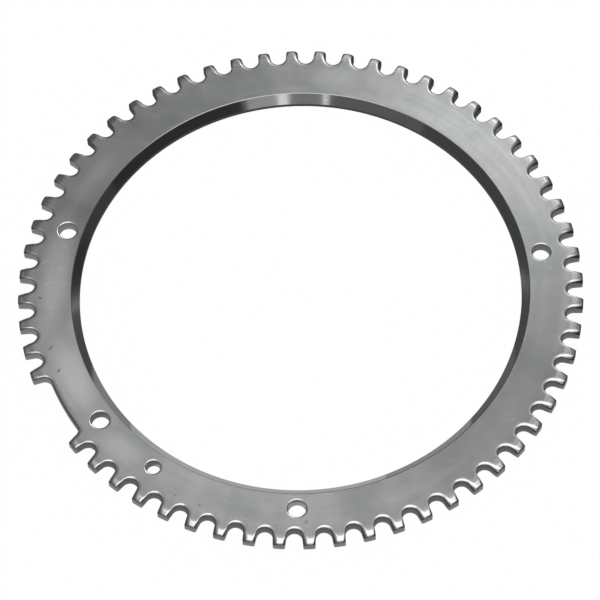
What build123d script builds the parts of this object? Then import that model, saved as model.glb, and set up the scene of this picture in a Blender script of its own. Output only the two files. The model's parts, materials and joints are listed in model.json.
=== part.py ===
from build123d import *
import os
from math import cos, hypot, radians, sin, tan

# Speed sensor tone ring: one flat blanked steel ring with sixty tooth places,
# two of them left out as the index gap, four screw holes and a locating hole.
# The ring lies on its lower face at z = 0 with its axis on Z.
# The middle of the index gap points along +X, and angles are counted from it.
# All lengths are in millimetres and all angles in degrees.

# Ring, from the rim inwards: the teeth, then the web that carries the holes, then the bore
outer_diameter = 200.0
tooth_height = 5.8
web_width = 15.9
thickness = 4.5

# Teeth and slots
tooth_places = 60
missing_teeth = 2
slot_width = 5.7
flank_flare = 6.0

# Upper edges, drawn down by the blanking tool: most at the tooth tips, least at the holes
slot_edge_width = 0.9
slot_edge_drop = 0.6
tip_roll_length = 3.6
tip_roll_depth = 1.0
tip_corner_drop = 0.8
tip_corner_slope = 60.0
hole_edge_width = 0.5
hole_edge_drop = 0.35

# Bore: a short cylindrical land below a conical lead-in
lead_in_width = 2.7
land_height = 1.5
lead_in_edge_break = 0.2

# Holes, on a circle that lies a little outside the middle of the web
hole_circle_offset = 0.35
screw_hole_diameter = 6.4
screw_hole_angles = (-45.0, 8.0, 60.5, 160.0)
locating_hole_diameter = 5.0
locating_hole_angle = 25.5

# Worked out from the sizes above
outer_radius = outer_diameter / 2
root_radius = outer_radius - tooth_height
bore_radius = root_radius - web_width
lead_in_radius = bore_radius + lead_in_width
hole_circle_radius = (root_radius + bore_radius) / 2 + hole_circle_offset
slot_radius = slot_width / 2
pitch_angle = 360.0 / tooth_places
slots = tooth_places - missing_teeth + 1
slot_angles = [(missing_teeth / 2 + place) * pitch_angle for place in range(slots)]
tooth_angles = [angle + pitch_angle / 2 for angle in slot_angles[:-1]]
overrun = 2.0
tool_radius = outer_radius + overrun


def around(angle, thing):
    """Turn a thing drawn along +X to its angle about the ring's axis."""
    return Rot(0, 0, angle) * thing


# Slot: a full round floor, with flanks that leave it at a tangent and flare to the rim
flare = radians(flank_flare)
floor_centre = root_radius + slot_radius
flank_start_x = floor_centre - slot_radius * sin(flare)
flank_start_y = slot_radius * cos(flare)


def slot_half_width(x):
    """Half the slot's width at a distance x from the ring's axis, on the flanks."""
    return flank_start_y + (x - flank_start_x) * tan(flare)


slot_mouth = Polygon(
    (flank_start_x, flank_start_y),
    (tool_radius, slot_half_width(tool_radius)),
    (tool_radius, -slot_half_width(tool_radius)),
    (flank_start_x, -flank_start_y),
    align=None,
)
slot_outline = Pos(floor_centre, 0) * Circle(slot_radius) + slot_mouth

# Index gap: its floor runs on at the root radius between its first and last slot
gap_half_angle = radians(missing_teeth * pitch_angle / 2)
gap_wedge = Polygon(
    (0, 0),
    (tool_radius, tool_radius * tan(gap_half_angle)),
    (tool_radius, -tool_radius * tan(gap_half_angle)),
    align=None,
)
gap_outline = gap_wedge - Circle(root_radius)

# Toothed plate, drawn past the rim so that the rolled edge of each slot runs out cleanly
plate_outline = Circle(tool_radius) - [around(angle, slot_outline) for angle in slot_angles]
plate_outline -= gap_outline
plate = extrude(plate_outline, thickness)
upper_face = plate.faces().sort_by(Axis.Z)[-1]
rolled_edges = [
    edge
    for edge in upper_face.edges()
    if hypot((edge @ 0.5).X, (edge @ 0.5).Y) < tool_radius - overrun / 2
]
plate = chamfer(rolled_edges, slot_edge_width, slot_edge_drop, reference=upper_face)

# Ring section, turned about Z
section = Polyline(
    (bore_radius, 0),
    (outer_radius, 0),
    (outer_radius, thickness),
    (lead_in_radius + lead_in_edge_break, thickness),
    (lead_in_radius, thickness - lead_in_edge_break),
    (bore_radius, land_height),
    close=True,
)
blank = revolve(Plane.XZ * make_face(section), Axis.Z)

# Holes through the ring, with the rolled edge of a punched hole on the upper face
screw_hole = Pos(hole_circle_radius, 0) * Circle(screw_hole_diameter / 2)
locating_hole = Pos(hole_circle_radius, 0) * Circle(locating_hole_diameter / 2)
holes = [around(angle, screw_hole) for angle in screw_hole_angles]
holes.append(around(locating_hole_angle, locating_hole))
blank -= [extrude(hole, thickness) for hole in holes]
blank_face = blank.faces().sort_by(Axis.Z)[-1]
hole_rims = [wire.edges() for wire in blank_face.inner_wires() if wire.length < bore_radius]
blank = chamfer(hole_rims, hole_edge_width, hole_edge_drop, reference=blank_face)

tone_ring = plate & blank

# Tooth tip: the upper face rolls down to the rim, and a bevel lowers each corner further
half_pitch = radians(pitch_angle / 2)
tip_half_width = outer_radius * sin(half_pitch) - slot_half_width(outer_radius) * cos(half_pitch)
roll_start = outer_radius - tip_roll_length
roll_end = (outer_radius, thickness - tip_roll_depth)
roll_profile = TangentArc((roll_start, thickness), roll_end, tangent=(1, 0)) + Polyline(
    roll_end,
    (tool_radius, roll_end[1]),
    (tool_radius, thickness + overrun),
    (roll_start, thickness + overrun),
    (roll_start, thickness),
)
roll_cut = extrude(Plane.XZ * make_face(roll_profile), tip_half_width + slot_radius, both=True)
corner_depth = tip_roll_depth + tip_corner_drop
corner = Pos(outer_radius, tip_half_width, thickness - corner_depth)
bevel = Box(
    3 * corner_depth,
    3 * corner_depth,
    corner_depth,
    align=(Align.CENTER, Align.CENTER, Align.MIN),
)
corner_cut = corner * Rot(0, 0, 45) * Rot(0, tip_corner_slope, 0) * bevel
tip_cut = roll_cut + corner_cut + mirror(corner_cut, Plane.XZ)
tone_ring -= [around(angle, tip_cut) for angle in tooth_angles]
tone_ring.label = "tone_ring"

os.makedirs("parts", exist_ok=True)
export_step(tone_ring, "parts/tone_ring.step")
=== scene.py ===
from math import atan2, cos, pi, radians, sin, sqrt, tan

import bmesh
import bpy
from mathutils import Matrix, Vector
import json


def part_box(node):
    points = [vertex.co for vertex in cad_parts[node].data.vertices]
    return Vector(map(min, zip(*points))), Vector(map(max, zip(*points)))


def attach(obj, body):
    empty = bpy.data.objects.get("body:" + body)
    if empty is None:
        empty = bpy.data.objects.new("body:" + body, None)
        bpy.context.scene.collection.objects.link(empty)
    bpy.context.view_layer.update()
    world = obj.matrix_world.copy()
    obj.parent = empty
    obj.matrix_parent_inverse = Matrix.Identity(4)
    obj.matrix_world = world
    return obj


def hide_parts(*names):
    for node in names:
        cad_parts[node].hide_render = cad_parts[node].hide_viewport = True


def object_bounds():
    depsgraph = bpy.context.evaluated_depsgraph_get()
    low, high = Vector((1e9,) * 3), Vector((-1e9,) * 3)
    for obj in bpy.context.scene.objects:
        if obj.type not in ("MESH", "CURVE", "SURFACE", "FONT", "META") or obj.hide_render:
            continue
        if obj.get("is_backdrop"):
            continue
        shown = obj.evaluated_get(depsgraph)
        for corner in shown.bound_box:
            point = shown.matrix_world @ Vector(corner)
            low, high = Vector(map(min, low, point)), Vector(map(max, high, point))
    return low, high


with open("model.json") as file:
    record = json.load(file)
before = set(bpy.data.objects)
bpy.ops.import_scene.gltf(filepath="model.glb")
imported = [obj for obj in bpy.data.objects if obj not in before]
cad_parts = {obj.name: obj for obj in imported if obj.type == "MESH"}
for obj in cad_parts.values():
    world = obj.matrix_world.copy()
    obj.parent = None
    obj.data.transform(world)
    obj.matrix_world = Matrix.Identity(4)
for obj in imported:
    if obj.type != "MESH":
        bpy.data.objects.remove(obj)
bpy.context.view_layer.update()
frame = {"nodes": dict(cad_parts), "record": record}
mm = 0.001


# The blank
# The ring is one flat steel blank, punched with its teeth, bore and holes in a press and then ground flat.
# Its radii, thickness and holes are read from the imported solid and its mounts.

solid = frame["nodes"]["tone_ring"]
mounts = {mount["name"]: mount for mount in frame["record"]["mounts"]}
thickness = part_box("tone_ring")[1].z
rim_radius = max(vertex.co.xy.length for vertex in solid.data.vertices)
bore_radius = mounts["pilot_bore"]["dims"]["r_mm"] * mm
land_height = mounts["pilot_bore"]["dims"]["length_mm"] * mm
hair = 0.001 * mm


def turn_section(form, places, centre, angle, steps, closed=False):
    """Turn a chain of places about the upright line through a centre, leaving a skin of faces behind it."""
    chain = [form.verts.new(place) for place in places]
    bmesh.ops.spin(
        form,
        geom=chain + [form.edges.new(pair) for pair in zip(chain, chain[1:])],
        cent=centre,
        axis=(0, 0, 1),
        angle=angle,
        steps=steps,
        use_merge=closed,
    )


class Section:
    """A chain of vertices that is swept step by step, leaving a skin of faces behind it."""

    def __init__(self, form, places):
        self.form = form
        self.chain = [form.verts.new(place) for place in places]
        self.edges = [form.edges.new(pair) for pair in zip(self.chain, self.chain[1:])]

    def sweep(self, places):
        made = bmesh.ops.extrude_edge_only(self.form, edges=self.edges)["geom"]
        new = {item for item in made if isinstance(item, bmesh.types.BMVert)}
        following = []
        for vertex in self.chain:
            beyond = (edge.other_vert(vertex) for edge in vertex.link_edges)
            following.append(next(other for other in beyond if other in new))
        self.chain = following
        kept = set(self.chain)
        self.edges = [
            item
            for item in made
            if isinstance(item, bmesh.types.BMEdge) and set(item.verts) <= kept
        ]
        for vertex, place in zip(self.chain, places):
            vertex.co = place


ring = bmesh.new()
mesh = bpy.data.meshes.new("tone_ring_ground")


# The rolled edge
# Punching draws the upper face down at every edge, in a curve that starts level on the flat face and ends
# upright at the wall.

roll_depth = 0.5
roll_steps, flat_steps, wall_steps = 9, 3, 2
fan = radians(72)


def smooth(value):
    """0 below 0, 1 above 1, and an even blend between."""
    value = min(max(value, 0.0), 1.0)
    return value * value * (3 - 2 * value)


def drawn_down(distance, width, deepening=1.0):
    """How far the upper face is drawn down at a distance from a wall."""
    reach = 1 - min(max(distance / width, 0.0), 1.0)
    return roll_depth * deepening * width * (1 - sqrt(1 - reach * reach))


def section_places(wall, inner, width, drop_at):
    """The section from the foot of a wall over its rolled edge to a point on the flat face."""
    length = (inner - wall).length
    rolled = width / max(width, length, hair)
    fan_shares = [(1 - cos(step / roll_steps * fan)) / (1 - cos(fan)) for step in range(roll_steps + 1)]
    shares = [rolled * share for share in fan_shares]
    shares += [rolled + (1 - rolled) * step / flat_steps for step in range(1, flat_steps + 1)]
    edge_height = thickness - drop_at(wall, 0.0)
    places = [(wall.x, wall.y, edge_height * step / wall_steps) for step in range(wall_steps)]
    for share in shares:
        place = wall.lerp(inner, share)
        places.append((place.x, place.y, thickness - drop_at(place, share * length)))
    return places


# The bore
# A conical lead-in is turned above a short cylindrical land. The sharp edge between cone and face is broken,
# flatter on the side of the face.

lead_in_width = 2.7 * mm
edge_break_width = 0.26 * mm
edge_break_drop = 0.12 * mm
edge_break_middle = 0.12 * mm, 0.05 * mm
bore_steps = 360

lead_in_radius = bore_radius + lead_in_width
lead_in_top = thickness - edge_break_drop
bore_section = [
    (lead_in_radius + edge_break_width, 0, thickness),
    (lead_in_radius + edge_break_middle[0], 0, thickness - edge_break_middle[1]),
    (lead_in_radius, 0, lead_in_top),
    (bore_radius + lead_in_width / 2, 0, (lead_in_top + land_height) / 2),
    (bore_radius, 0, land_height),
    (bore_radius, 0, 0),
]
turn_section(ring, bore_section, (0, 0, 0), 2 * pi, bore_steps, closed=True)


# The holes
# Four screw holes and a smaller locating hole are punched through the web. Their upper edges are rolled too,
# though less than the slots', and nothing is drawn down far from them.

hole_roll = 0.7 * mm
hole_margin = 1.05 * mm
hole_steps = 56

for mount in mounts.values():
    if mount["kind"] != "bore" or mount["name"] == "pilot_bore":
        continue
    hole_radius = mount["dims"]["r_mm"] * mm
    centre = Vector(mount["pos_m"])
    hole_section = section_places(
        Vector((hole_radius, 0)),
        Vector((hole_radius + hole_margin, 0)),
        hole_roll,
        lambda place, along: drawn_down(along, hole_roll),
    )
    places = [centre + Vector(place) for place in hole_section]
    turn_section(ring, places, centre, 2 * pi, hole_steps, closed=True)


# The toothing
# Sixty places round the rim, two of them left out as the index gap. The slots have a full round floor and
# are punched one after another, so a tooth is drawn down most at its tip and on the side that was cut last.

tooth_places = 60
missing_teeth = 2
tooth_height = 5.8 * mm
slot_radius = 2.85 * mm
flank_flare = radians(6.0)
tip_corner_radius = 0.5 * mm
flat_margin = 3.0 * mm
floor_roll = 1.25 * mm
gap_roll = 1.35 * mm
late_side_rolls = floor_roll, 1.5 * mm, 2.0 * mm
early_side_rolls = floor_roll, 0.25 * mm, 1.1 * mm
tip_deepening = 0.6
tip_roll_length = 4.2 * mm
tip_roll_depth = 1.1 * mm
rim_steps, corner_steps, flank_steps, floor_steps = 6, 4, 20, 16
gap_steps = 48

root_radius = rim_radius - tooth_height
half_pitch = pi / tooth_places
floor_centre = root_radius + slot_radius
inner_limit = root_radius - flat_margin
along_flank = Vector((cos(flank_flare), sin(flank_flare)))
off_flank = Vector((-sin(flank_flare), cos(flank_flare)))
flank_start = Vector((floor_centre, 0)) + slot_radius * off_flank


def wall_distance(place):
    """How far a place lies from the wall of the slot that opens along +X."""
    place = Vector((place.x, abs(place.y)))
    if (place - flank_start).dot(along_flank) > 0:
        return (place - flank_start).dot(off_flank)
    return (place - Vector((floor_centre, 0))).length - slot_radius


def roll_width(place, rolls):
    """The rolled edge's width, which blends from the slot floor's to the flank's and then to the tip's."""
    floor, flank, tip = rolls
    round_floor = min(atan2(abs(place.y), floor_centre - place.x) / (pi / 2), 1.0)
    at_tip = smooth((place.length - rim_radius) / tip_roll_length + 1)
    return floor + (flank - floor) * round_floor + (tip - flank) * at_tip


def tooth_drop(place, along, rolls):
    """The drop at the wall of the slot that opens along +X, and the longer one at the tip, together."""
    into_tip = min(max(0.0, (place.length - rim_radius) / tip_roll_length + 1), 1.0)
    distance = wall_distance(place) if along > 0 else 0.0
    tip_drop = tip_roll_depth * (1 - sqrt(1 - into_tip**2))
    deepening = 1 + tip_deepening * smooth((place.length - rim_radius) / tip_roll_length + 1)
    return drawn_down(distance, roll_width(place, rolls), deepening) + tip_drop


def to_centreline(start, direction):
    """Where a line meets the middle line of the tooth, or the inner limit of the toothing."""
    normal = Vector((-sin(half_pitch), cos(half_pitch)))
    toward = direction.dot(normal)
    if toward > 1e-9:
        met = start - direction * (start.dot(normal) / toward)
        if met.length >= inner_limit:
            return met
    inward = start.dot(direction)
    return start + direction * (-inward - sqrt(inward**2 - start.length_squared + inner_limit**2))


# Half a slot's outline, from the middle of the tooth tip over the corner and flank to the slot's floor
corner_in = rim_radius - tip_corner_radius
offset = flank_start + tip_corner_radius * off_flank
run = -offset.dot(along_flank) + sqrt(offset.dot(along_flank) ** 2 - offset.length_squared + corner_in**2)
corner_centre = offset + run * along_flank
corner_turn = atan2(corner_centre.y, corner_centre.x)
outline = []
for step in range(rim_steps):
    turn = half_pitch + (corner_turn - half_pitch) * step / rim_steps
    outline.append(Vector((rim_radius * cos(turn), rim_radius * sin(turn))))
for step in range(corner_steps + 1):
    turn = corner_turn + (flank_flare - pi / 2 - corner_turn) * step / corner_steps
    outline.append(corner_centre + tip_corner_radius * Vector((cos(turn), sin(turn))))
flank_end = outline[-1]
for step in range(1, flank_steps):
    outline.append(flank_end.lerp(flank_start, step / flank_steps))
for step in range(floor_steps + 1):
    turn = pi / 2 + flank_flare + (pi / 2 - flank_flare) * step / floor_steps
    outline.append(Vector((floor_centre + slot_radius * cos(turn), slot_radius * sin(turn))))

tip_middle = outline[0]
first_inner = to_centreline(flank_end, off_flank)
corner_count = rim_steps + corner_steps


def half_tooth(form, rolls, side):
    """One half of a tooth that points along +X: side 1 has the flank at -Y, and side -1 the one at +Y."""
    turn_back = Matrix.Rotation(-half_pitch, 3, "Z")
    swept = None
    for index, wall in enumerate(outline):
        width = roll_width(wall, rolls)
        if index < corner_count:
            inner = tip_middle.lerp(first_inner, index / corner_count)
            width = (inner - wall).length
        elif index < corner_count + flank_steps:
            inner = to_centreline(wall, off_flank)
        else:
            inner = to_centreline(wall, (wall - Vector((floor_centre, 0))).normalized())
        row = section_places(wall, inner, width, lambda place, along: tooth_drop(place, along, rolls))
        turned = [turn_back @ Vector(place) for place in row]
        places = [(place.x, side * place.y, place.z) for place in turned]
        if swept:
            swept.sweep(places)
        else:
            swept = Section(form, places)


toothing = bmesh.new()
half_tooth(toothing, late_side_rolls, 1)
half_tooth(toothing, early_side_rolls, -1)
bmesh.ops.remove_doubles(toothing, verts=toothing.verts, dist=hair)

# One tooth for each place that has one
first_tooth = (missing_teeth + 1) * half_pitch
teeth = tooth_places - missing_teeth
bmesh.ops.rotate(toothing, verts=toothing.verts, cent=(0, 0, 0), matrix=Matrix.Rotation(first_tooth, 3, "Z"))
bmesh.ops.spin(
    toothing,
    geom=toothing.verts[:] + toothing.edges[:] + toothing.faces[:],
    cent=(0, 0, 0),
    axis=(0, 0, 1),
    angle=2 * half_pitch * (teeth - 1),
    steps=teeth - 1,
    use_duplicate=True,
)

# The floor of the index gap, between the slots at its two ends
gap_half = missing_teeth * half_pitch
gap_blend = 0.6 * half_pitch


def gap_row(turn):
    """The section across the gap's floor at an angle from its middle."""
    outward = Vector((cos(turn), sin(turn)))
    widened = floor_roll + (gap_roll - floor_roll) * smooth((gap_half - abs(turn)) / gap_blend)
    return section_places(
        root_radius * outward,
        inner_limit * outward,
        widened,
        lambda place, along: drawn_down(along, widened),
    )


gap_floor = Section(toothing, gap_row(gap_half))
for step in range(1, gap_steps + 1):
    gap_floor.sweep(gap_row(gap_half - 2 * gap_half * step / gap_steps))


# The two faces
# The upper face is ground flat between the toothing, the holes and the bore, and the lower one right across.

toothing.to_mesh(mesh)
toothing.free()
ring.from_mesh(mesh)
bmesh.ops.remove_doubles(ring, verts=ring.verts, dist=hair)
bmesh.ops.dissolve_degenerate(ring, edges=ring.edges, dist=hair / 10)
for level, normal in ((thickness, (0, 0, 1)), (0.0, (0, 0, -1))):
    rims = [
        edge
        for edge in ring.edges
        if edge.is_boundary and all(abs(vertex.co.z - level) < hair for vertex in edge.verts)
    ]
    bmesh.ops.triangle_fill(ring, use_beauty=True, use_dissolve=False, edges=rims, normal=normal)
bmesh.ops.recalc_face_normals(ring, faces=ring.faces)

# Material slots: 0 the ground face, 1 the punched edges and the lower face, 2 the turned bore
crease = radians(15)
flat = 0.9999
lead_in_limit = lead_in_radius + edge_break_width + 0.02 * mm
for face in ring.faces:
    face.smooth = True
    middle = face.calc_center_median()
    if face.normal.z > flat and middle.xy.length > lead_in_limit:
        face.material_index = 0
    elif middle.xy.length < lead_in_limit:
        face.material_index = 2
    else:
        face.material_index = 1
for edge in ring.edges:
    edge.smooth = edge.calc_face_angle(0.0) < crease
ring.to_mesh(mesh)
ring.free()
piece = bpy.data.objects.new("tone_ring_ground", mesh)
bpy.context.scene.collection.objects.link(piece)
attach(piece, "root")
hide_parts("tone_ring")


# The ground face
# The upper face is ground on a turning table, so its fine lines run round the ring and its sheen gathers in
# two broad lobes. Handling has left cloudy patches, wipe marks, short scratches and a few stains on it.
# Broad pale bands along the ring, mostly on the left and at the far side, are painted sheen.


class Wire:
    """An output of a finish's node, which takes part in Python's arithmetic by adding Math nodes."""

    def __init__(self, finish, socket):
        self.finish = finish
        self.socket = socket

    def output(self, name):
        return Wire(self.finish, self.socket.node.outputs[name])

    def math(self, operation, *values):
        return self.finish.node("ShaderNodeMath", {"operation": operation}, dict(enumerate(values)))

    def __add__(self, other):
        return self.math("ADD", self, other)

    def __radd__(self, other):
        return self.math("ADD", other, self)

    def __sub__(self, other):
        return self.math("SUBTRACT", self, other)

    def __rsub__(self, other):
        return self.math("SUBTRACT", other, self)

    def __mul__(self, other):
        return self.math("MULTIPLY", self, other)

    def __rmul__(self, other):
        return self.math("MULTIPLY", other, self)

    def at_most(self, other):
        return self.math("MINIMUM", self, other)

    def at_least(self, other):
        return self.math("MAXIMUM", self, other)

    def ramp(self, low, high):
        """0 at low, 1 at high, with an even blend between; low may be the greater of the two."""
        settings = {"interpolation_type": "SMOOTHSTEP"}
        inputs = {"Value": self, "From Min": low, "From Max": high}
        return self.finish.node("ShaderNodeMapRange", settings, inputs)


class Finish:
    """A material of the scene and the nodes that are added to it."""

    def __init__(self, name):
        self.material = bpy.data.materials.new(name)
        self.material.use_nodes = True
        self.tree = self.material.node_tree
        self.shader = self.tree.nodes["Principled BSDF"]

    def feed(self, socket, value):
        if isinstance(value, Wire):
            self.tree.links.new(value.socket, socket)
        else:
            socket.default_value = value

    def node(self, kind, settings, inputs, output=0):
        made = self.tree.nodes.new(kind)
        for name, value in settings.items():
            setattr(made, name, value)
        for name, value in inputs.items():
            self.feed(made.inputs[name], value)
        return Wire(self, made.outputs[output])

    def set(self, **values):
        for name, value in values.items():
            self.feed(self.shader.inputs[name.replace("_", " ")], value)

    def vector(self, operation, *values, output="Vector"):
        return self.node("ShaderNodeVectorMath", {"operation": operation}, dict(enumerate(values)), output)

    def noise(self, place, scale, detail=3.0, roughness=0.5):
        inputs = {"Vector": place, "Scale": scale, "Detail": detail, "Roughness": roughness}
        return self.node("ShaderNodeTexNoise", {}, inputs, "Fac")

    def colour(self, amount, first, second):
        """A mix of two colours."""
        return self.node("ShaderNodeMix", {"data_type": "RGBA"}, {0: amount, 6: first, 7: second}, 2)

    def bump(self, height, distance, strength):
        inputs = {"Height": height, "Distance": distance, "Strength": strength}
        return self.node("ShaderNodeBump", {}, inputs, "Normal")


def bare_steel(name, anisotropy):
    """Bare steel, whose lines run round the ring: the shader's highlight then stretches across them."""
    finish = Finish(name)
    finish.set(Metallic=1.0, Anisotropic=anisotropy, Anisotropic_Rotation=0.25)
    mesh.materials.append(finish.material)
    return finish


def round_ring(finish, place, along, across):
    """Coordinates for a pattern that is drawn out round the ring: along it, across it and up it."""
    flat = finish.vector("MULTIPLY", place, (1, 1, 0))
    radius = finish.vector("LENGTH", flat, output="Value")
    height = finish.node("ShaderNodeSeparateXYZ", {}, {0: place}, "Z")
    way = finish.vector("NORMALIZE", flat)
    way = finish.node("ShaderNodeVectorMath", {"operation": "SCALE"}, {0: way, "Scale": along})
    outward = finish.node("ShaderNodeCombineXYZ", {}, {"Z": (radius + height) * across})
    return finish.vector("ADD", way, outward)


def dull_spots(finish, place, spots):
    """Soft marks at given places: x, y, length and width in millimetres, turn in degrees, and strength."""
    marks = None
    for x, y, length, width, turn, strength in spots:
        spot = finish.node(
            "ShaderNodeMapping",
            {"vector_type": "TEXTURE"},
            {
                "Vector": place,
                "Location": (x * mm, y * mm, thickness),
                "Rotation": (0, 0, radians(turn)),
                "Scale": (length * mm / 2, width * mm / 2, 2 * mm),
            },
        )
        mark = finish.vector("LENGTH", spot, output="Value").ramp(1.0, 0.2) * strength
        marks = mark if marks is None else marks.at_least(mark)
    return marks


ground = bare_steel("ground_face", 0.8)
place = ground.node("ShaderNodeTexCoord", {}, {}, "Object")
clouds = ground.noise(place, 32, 4.0, 0.55).ramp(0.38, 0.66)
fine_clouds = ground.noise(place, 140, 3.0, 0.6).ramp(0.3, 0.7)
wipes = ground.noise(round_ring(ground, place, 1.2, 220), 1.0, 4.0, 0.6).ramp(0.42, 0.75)
lines = ground.noise(round_ring(ground, place, 9.0, 5200), 1.0, 2.0, 0.7)
slanted = ground.node(
    "ShaderNodeMapping",
    {"vector_type": "TEXTURE"},
    {"Vector": place, "Rotation": (0, 0, radians(-12)), "Scale": (0.012, 0.0007, 1)},
)
scratched = ground.noise(place, 45, 2.0).ramp(0.5, 0.62)
scratches = ground.noise(slanted, 1.0, 2.0, 0.5).ramp(0.64, 0.78) * scratched
stains = dull_spots(
    ground,
    place,
    (
        (82.2, -41.4, 2.4, 1.2, -60, 0.8),
        (88.0, -21.6, 3.0, 1.1, 20, 0.75),
        (89.6, -12.2, 2.8, 1.2, 35, 0.8),
        (80.5, 16.8, 1.0, 0.8, 0, 0.7),
        (77.4, 48.7, 1.1, 0.6, 30, 0.8),
        (76.7, 50.4, 1.3, 0.9, 60, 0.9),
        (71.1, 58.0, 1.2, 0.9, 0, 0.9),
        (54.2, 65.7, 1.6, 0.9, 40, 0.35),
        (59.0, 69.6, 1.5, 1.0, 0, 0.5),
        (42.3, 81.4, 2.6, 1.8, 10, 0.55),
    ),
)
nicks = dull_spots(
    ground,
    place,
    (
        (-80.9, 36.9, 0.9, 0.4, 20, 1.0),
        (65.2, -55.7, 3.6, 0.9, -12, 0.7),
        (74.2, -53.7, 4.4, 1.2, -9, 0.5),
        (70.3, -48.6, 5.0, 1.0, -10, 0.45),
        (76.7, -45.3, 4.6, 1.4, -8, 0.6),
        (72.8, -42.0, 4.0, 0.9, -12, 0.35),
        (80.6, -36.0, 5.2, 1.2, -10, 0.3),
    ),
)
# Broad pale bands along the ring, mostly on the left and at the far side: painted sheen, a lighter colour
# where the face catches more light.
painted_sheen = dull_spots(
    ground,
    place,
    (
        (71.9, -49.0, 62, 15, 55.7, 1.0),
        (86.0, -8.0, 44, 15, 85, 0.9),
        (40.0, -78.0, 22, 9, 27, 0.5),
        (-50.0, 72.0, 60, 14, 35, 0.15),
        (84.0, 26.0, 26, 13, 107, 0.5),
        (-52.4, -71.3, 26, 14, -36, 0.45),
        (48.0, -73.0, 20, 10, 33, 0.4),
    ),
)
pale, deep = (0.54, 0.545, 0.53, 1), (0.37, 0.385, 0.39, 1)
steel = ground.colour(clouds * 0.6 + fine_clouds * 0.3 + wipes * 0.3, deep, pale)
# The ground colour is lifted toward pale grey in the painted sheen bands.
steel = ground.colour((painted_sheen * 0.66).at_most(1.0), steel, (0.8, 0.81, 0.8, 1))
steel = ground.colour(stains * 0.75, steel, (0.16, 0.15, 0.14, 1))
steel = ground.colour((scratches * 0.5 + nicks).at_most(1.0), steel, (0.86, 0.87, 0.87, 1))
ground.set(
    Base_Color=steel,
    Roughness=0.31 + clouds * 0.05 - wipes * 0.04 + (lines - 0.5) * 0.06 + stains * 0.15,
    Normal=ground.bump(lines * 0.5 + scratches * -0.6 + fine_clouds * 0.3, 0.004 * mm, 0.6),
)


# The punched edges
# Tooth flanks, slot floors and holes are sheared: burnished for most of their height, and torn and paler
# along the foot. Above them the steel has flowed over the die, and that rolled edge is smooth and bright.
# Where it turns steeply down to the wall it is painted almost black: a painted shade line.

punched = bare_steel("punched_edge", 0.0)
place = punched.node("ShaderNodeTexCoord", {}, {}, "Object")
height = punched.node("ShaderNodeSeparateXYZ", {}, {0: place}, "Z")
facing = punched.node("ShaderNodeNewGeometry", {}, {}, "Normal")
facing_up = punched.node("ShaderNodeSeparateXYZ", {}, {0: facing}, "Z")
wall = facing_up.ramp(0.75, 0.3)
level = facing_up.ramp(0.98, 0.996)
ragged = punched.noise(place, 900, 2.0)
torn = (height + (ragged - 0.5) * (1.2 * mm)).ramp(1.5 * mm, 1.1 * mm) * wall
upright = punched.node("ShaderNodeMapping", {}, {"Vector": place, "Scale": (1, 1, 0.06)})
drag = punched.noise(upright, 2600, 2.0, 0.6)
grain = punched.noise(place, 3500, 2.0, 0.6)
mottle = punched.noise(place, 300, 3.0, 0.6).ramp(0.3, 0.7)
shade = punched.colour(wall, (0.9, 0.905, 0.9, 1), (0.42, 0.425, 0.43, 1))
# The steep part of the rolled edge, tilted about 37 to 72 degrees, is painted almost black: a painted shade
# line between the bright edge and the wall.
painted_shade_line = facing_up.ramp(0.8, 0.45) * facing_up.ramp(0.0, 0.3)
shade = punched.colour(painted_shade_line * 0.85, shade, (0.05, 0.05, 0.05, 1))
shade = punched.colour(level, shade, (0.48, 0.49, 0.49, 1))
shade = punched.colour(torn, shade, (0.6, 0.6, 0.59, 1))
shade = punched.colour(mottle * 0.35 * wall, shade, (0.42, 0.42, 0.42, 1))
punched.set(
    Base_Color=shade,
    Roughness=0.13 + mottle * 0.03 + wall * 0.16 + torn * 0.2 + level * 0.2,
    Normal=punched.bump(drag * wall * (1 - torn) * 0.5 + grain * torn, 0.02 * mm, 0.5),
)


# The turned bore
# The lead-in cone and the land below it are finish turned, which leaves bright fine rings round them.

turned_steel = bare_steel("turned_bore", 0.3)
place = turned_steel.node("ShaderNodeTexCoord", {}, {}, "Object")
rings = turned_steel.noise(round_ring(turned_steel, place, 2.0, 4200), 1.0, 2.0, 0.7)
bands = turned_steel.noise(round_ring(turned_steel, place, 1.0, 700), 1.0, 2.0, 0.5).ramp(0.3, 0.7)
dim = turned_steel.noise(place, 40, 3.0, 0.5).ramp(0.35, 0.7)
turned_steel.set(
    Base_Color=turned_steel.colour(dim * 0.5 + bands * 0.3, (0.52, 0.53, 0.53, 1), (0.43, 0.435, 0.44, 1)),
    Roughness=0.07 + rings * 0.04 + dim * 0.03,
    Normal=turned_steel.bump(rings, 0.003 * mm, 0.5),
)


# The camera
# It looks down on the ring at about 61 degrees through a long lens 1.2 m away, with the index gap at the
# lower left of the picture.

camera_distance = 1209.3 * mm
aim_offset = Vector((0.162, 2.4574, 0)) * mm
ring_turn = radians(206.303)
view_tilt = radians(-29.076)
view_roll = radians(2.813)
focal_length = 204.575
film_width = 36

lens = bpy.data.cameras.new("camera")
lens.sensor_width = film_width
lens.lens = focal_length
camera = bpy.data.objects.new("camera", lens)
bpy.context.scene.collection.objects.link(camera)
turned = (
    Matrix.Rotation(-ring_turn, 4, "Z")
    @ Matrix.Rotation(-view_tilt, 4, "X")
    @ Matrix.Rotation(-view_roll, 4, "Z")
)
camera.matrix_world = turned @ Matrix.Translation(Vector((0, 0, camera_distance)) - aim_offset)
bpy.context.scene.camera = camera

bpy.context.scene.view_settings.view_transform = "Standard"


# The studio
# A pale floor in a white room, with one soft lamp behind the ring on the right. Cards of white, grey and
# black stand round the ring and lie on the floor, so that the bare metal has a graded room to reflect. Only
# reflections see them.

floor_size = 6.0
floor_gap = 0.05 * mm
card_gap = 0.03 * mm
tent_radius = 2.4
tent_layer_gap = 0.01
rise_steps = 8
card_step = 6
paper_share = 0.985


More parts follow.
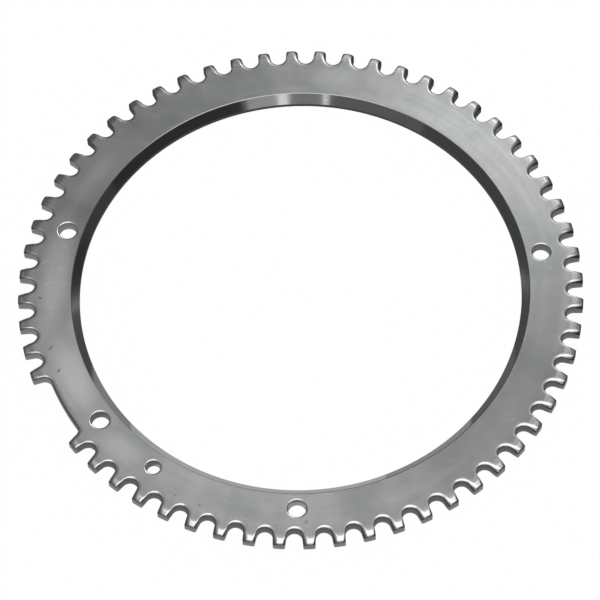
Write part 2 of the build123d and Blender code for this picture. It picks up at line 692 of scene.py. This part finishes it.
def light_and_show(finish, surface, light, shown, share):
    """Lights with the first shader, and shows a share of the second to the camera and in reflections."""
    rays = finish.node("ShaderNodeLightPath", {}, {}, "Is Camera Ray")
    seen = rays.at_least(rays.output("Is Glossy Ray")).at_least(rays.output("Is Transmission Ray"))
    mix = finish.node("ShaderNodeMixShader", {}, {0: seen * share, 1: light, 2: shown})
    finish.tree.links.new(mix.socket, surface)


class Room(Finish):
    """The world's nodes, made as a finish's are."""

    def __init__(self, name):
        self.world = bpy.data.worlds.new(name)
        self.world.use_nodes = True
        self.tree = self.world.node_tree


room = Room("studio")
bpy.context.scene.world = room.world
light_and_show(
    room,
    room.tree.nodes["World Output"].inputs["Surface"],
    room.node("ShaderNodeBackground", {}, {"Color": (1, 1, 1, 1), "Strength": 0.8}),
    room.node("ShaderNodeBackground", {}, {"Color": (1, 1, 1, 1), "Strength": 1.0}),
    1.0,
)

paper = Finish("pale_paper")
paper.set(Base_Color=(0.9, 0.9, 0.9, 1), Roughness=0.8)
light_and_show(
    paper,
    paper.tree.nodes["Material Output"].inputs["Surface"],
    Wire(paper, paper.shader.outputs[0]),
    paper.node("ShaderNodeEmission", {}, {"Color": (1, 1, 1, 1), "Strength": 1.0}),
    paper_share,
)


def scenery(name, form, material):
    """An object of the scene with the form's mesh and one material."""
    data = bpy.data.meshes.new(name)
    form.to_mesh(data)
    form.free()
    data.materials.append(material)
    item = bpy.data.objects.new(name, data)
    bpy.context.scene.collection.objects.link(item)
    return item


sheet = bmesh.new()
bmesh.ops.create_grid(sheet, x_segments=1, y_segments=1, size=floor_size / 2)
bmesh.ops.translate(sheet, verts=sheet.verts, vec=(0, 0, -floor_gap))
scenery("floor", sheet, paper.material)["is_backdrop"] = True


def around_ring(azimuth, elevation, distance):
    """A place round the ring, with azimuth 0 on the camera's right and 90 behind the ring."""
    turn, rise = radians(azimuth) - ring_turn, radians(elevation)
    return Vector((cos(turn) * cos(rise), sin(turn) * cos(rise), sin(rise))) * distance


def card(name, azimuths, edge, level):
    """A card of a level of grey: an edge of places that is turned round the ring between two azimuths."""
    form = bmesh.new()
    span = azimuths[1] - azimuths[0]
    turn_section(form, edge, (0, 0, 0), radians(span), max(2, round(span / card_step)))
    grey = Finish(name)
    glow = grey.node("ShaderNodeEmission", {}, {"Color": (1, 1, 1, 1), "Strength": level})
    grey.tree.links.new(glow.socket, grey.tree.nodes["Material Output"].inputs["Surface"])
    item = scenery(name, form, grey.material)
    item.visible_camera = item.visible_diffuse = item.visible_shadow = item.visible_transmission = False
    item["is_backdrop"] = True


# On the floor: azimuths in degrees, nearest and farthest distance from the axis, level of grey
for name, azimuths, near, far, level in (
    ("far_floor_card", (0, 360), 103 * mm, tent_radius, 0.05),
    ("right_floor_card", (-20, 40), 85 * mm, 103 * mm, 0.3),
    ("back_floor_card", (40, 140), 85 * mm, 103 * mm, 0.12),
    ("left_floor_card", (140, 200), 85 * mm, 103 * mm, 0.42),
    # Under the slots in front the floor card is darker than at the rim: painted shade of the floor in the
    # slots, seen only in reflections.
    ("front_slot_shade_card", (200, 340), 85 * mm, 99 * mm, 0.24),
    ("front_rim_floor_card", (200, 340), 99 * mm, 103 * mm, 0.42),
    ("bore_floor_card", (-15, 195), 0.0, 85 * mm, 0.11),
    ("left_bore_floor_card", (195, 217), 0.0, 85 * mm, 0.36),
    ("front_bore_floor_card", (217, 290), 0.0, 85 * mm, 0.6),
    ("right_bore_floor_card", (290, 318), 0.0, 85 * mm, 0.4),
    ("far_right_bore_floor_card", (318, 345), 0.0, 85 * mm, 0.18),
):
    outward = around_ring(azimuths[0], 0, 1.0)
    edge = [(outward.x * reach, outward.y * reach, -card_gap) for reach in (near, far)]
    card(name, azimuths, edge, level)

# Round and over the ring, each card inside the one before: azimuths and elevations in degrees, level of grey
layers = 0
for name, azimuths, elevations, level in (
    ("surround_card", (0, 360), (0, 74), 0.15),
    ("zenith_card", (0, 360), (74, 89.9), 1.15),
    ("front_high_card", (205, 350), (60, 74), 1.15),
    ("front_middle_card", (215, 350), (47, 60), 0.9),
    ("front_lower_card", (225, 350), (36, 47), 0.25),
    ("horizon_card", (0, 360), (0, 9), 0.05),
    ("front_low_card", (225, 290), (9, 36), 0.17),
    ("middle_low_card", (258, 271), (9, 36), 0.3),
    ("strip_side_card", (276, 288), (9, 36), 0.5),
    ("strip_card", (271, 275.6), (9, 36), 1.3),
    ("narrow_strip_card", (254.6, 257), (9, 36), 1.2),
    ("front_right_low_card", (290, 360), (9, 36), 0.045),
    ("right_top_card", (350, 415), (68, 74), 0.85),
    ("right_upper_card", (350, 415), (63, 68), 0.52),
    ("right_high_card", (350, 415), (56, 63), 0.36),
    ("right_middle_card", (350, 410), (36, 56), 0.22),
    ("right_low_card", (350, 410), (9, 36), 0.08),
    ("back_gap_card", (415, 440), (60, 72), 0.4),
    ("back_right_card", (408, 424), (38, 58), 0.5),
    ("back_low_card", (56, 88), (9, 22), 0.36),
    ("back_lower_card", (56, 88), (22, 36), 0.5),
    ("lamp_side_card", (80, 85), (36, 60), 0.8),
    ("back_card", (85, 88), (36, 60), 0.6),
    ("back_middle_card", (88, 96), (9, 56), 0.28),
    ("back_high_card", (85, 96), (56, 68), 0.8),
    ("back_left_card", (96, 130), (0, 60), 0.09),
    ("back_left_high_card", (96, 130), (60, 74), 0.5),
    ("left_low_card", (130, 215), (0, 40), 0.09),
    ("left_middle_card", (130, 200), (40, 60), 0.2),
    ("left_high_card", (130, 205), (60, 74), 0.45),
    ("front_left_card", (200, 225), (40, 60), 0.35),
    ("front_left_low_card", (215, 270), (0, 20), 0.2),
):
    low, high = elevations
    layers += 1
    distance = tent_radius - tent_layer_gap * layers
    rises = [low + (high - low) * step / rise_steps for step in range(rise_steps + 1)]
    card(name, azimuths, [around_ring(azimuths[0], rise, distance) for rise in rises], level)


def lamp(name, azimuths, elevations, radiance, distance):
    """A soft lamp that covers a range of azimuths and elevations seen from the ring, at a given radiance."""
    middle = sum(azimuths) / 2, sum(elevations) / 2
    width = 2 * distance * tan(radians(azimuths[1] - azimuths[0]) / 2) * cos(radians(middle[1]))
    length = 2 * distance * tan(radians(elevations[1] - elevations[0]) / 2)
    data = bpy.data.lights.new(name, "AREA")
    data.shape = "RECTANGLE"
    data.size, data.size_y = width, length
    data.energy = radiance * pi * width * length
    item = bpy.data.objects.new(name, data)
    bpy.context.scene.collection.objects.link(item)
    place = around_ring(*middle, distance)
    item.matrix_world = Matrix.Translation(place) @ (-place).to_track_quat("-Z", "Y").to_matrix().to_4x4()


lamp("back_lamp", (60, 81.5), (38, 60), 2.1, 1.6)


low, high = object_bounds()
